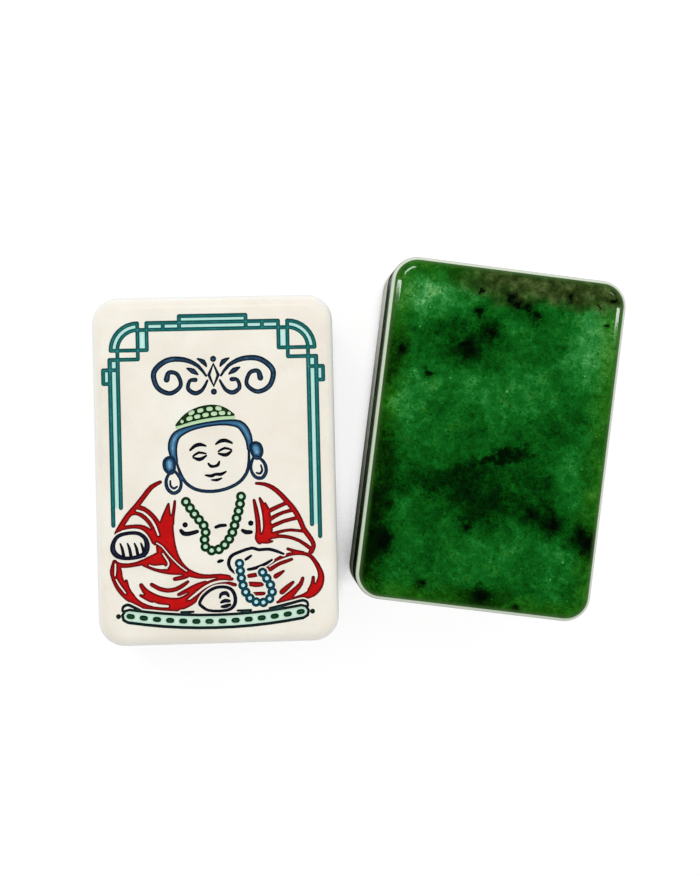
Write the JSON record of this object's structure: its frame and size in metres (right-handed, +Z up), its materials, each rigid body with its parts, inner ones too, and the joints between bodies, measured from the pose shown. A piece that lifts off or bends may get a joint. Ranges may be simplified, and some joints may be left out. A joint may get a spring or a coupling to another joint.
{
  "type": "pair of mahjong tiles",
  "caption": "Laminated game tile with an engraved and coloured ivory face on a marbled green back, shown as a pair lying face up and face down.",
  "frame": {"origin": "middle of the underside of the face-up tile, where its green back rests on the table", "axes": "+Z up from the table through the face-up tile to its engraved face, +Y along the tile towards the top of its design, +X across towards the face-down tile"},
  "size_m": [0.0511, 0.0364, 0.013],
  "materials": {
    "ivory": "soft gloss, opaque ivory",
    "green_marble": "gloss, dark and bright green marbling with an olive band",
    "bond": "thin grey-ivory bond line",
    "teal_line": "satin inlaid colour",
    "aqua_fill": "satin inlaid colour",
    "slate_blue": "satin inlaid colour",
    "cap_green": "satin inlaid colour",
    "curl_green": "satin inlaid colour",
    "slate_line": "satin inlaid colour",
    "mid_blue": "satin inlaid colour",
    "near_black": "satin inlaid colour",
    "robe_red": "satin inlaid colour",
    "dark_navy": "satin inlaid colour",
    "bead_green": "satin inlaid colour",
    "bead_pale_green": "satin inlaid colour",
    "bead_teal": "satin inlaid colour",
    "bead_pale_cyan": "satin inlaid colour",
    "seat_dark": "satin inlaid colour",
    "seat_mint": "satin inlaid colour",
    "stud_green": "satin inlaid colour"
  },
  "bodies": {
    "faceup_tile": {"faceup_face_layer": "ivory", "faceup_back_layer": "green_marble", "faceup_bond_film": "bond", "faceup_border_lines": "teal_line", "faceup_border_fill": "aqua_fill", "faceup_headline_ornament": "slate_blue", "faceup_cap": "cap_green", "faceup_cap_curls": "curl_green", "faceup_head_lines": "slate_line", "faceup_hair_fill": "mid_blue", "faceup_face_and_body_lines": "near_black", "faceup_robe": "robe_red", "faceup_hand_and_foot_lines": "dark_navy", "faceup_necklace_beads": "bead_green", "faceup_necklace_bead_middles": "bead_pale_green", "faceup_hand_beads": "bead_teal", "faceup_hand_bead_middles": "bead_pale_cyan", "faceup_seat_outline": "seat_dark", "faceup_seat_band": "seat_mint", "faceup_seat_studs": "stud_green"},
    "facedown_tile": {"facedown_face_layer": "ivory", "facedown_back_layer": "green_marble", "facedown_bond_film": "bond", "facedown_border_lines": "teal_line", "facedown_border_fill": "aqua_fill", "facedown_headline_ornament": "slate_blue", "facedown_cap": "cap_green", "facedown_cap_curls": "curl_green", "facedown_head_lines": "slate_line", "facedown_hair_fill": "mid_blue", "facedown_face_and_body_lines": "near_black", "facedown_robe": "robe_red", "facedown_hand_and_foot_lines": "dark_navy", "facedown_necklace_beads": "bead_green", "facedown_necklace_bead_middles": "bead_pale_green", "facedown_hand_beads": "bead_teal", "facedown_hand_bead_middles": "bead_pale_cyan", "facedown_seat_outline": "seat_dark", "facedown_seat_band": "seat_mint", "facedown_seat_studs": "stud_green"}
  },
  "joints": [
    {"name": "facedown_lift", "type": "slide", "parent": "faceup_tile", "child": "facedown_tile", "axis": [0, 0, 1], "range_m": [0, 0.03]}
  ]
}
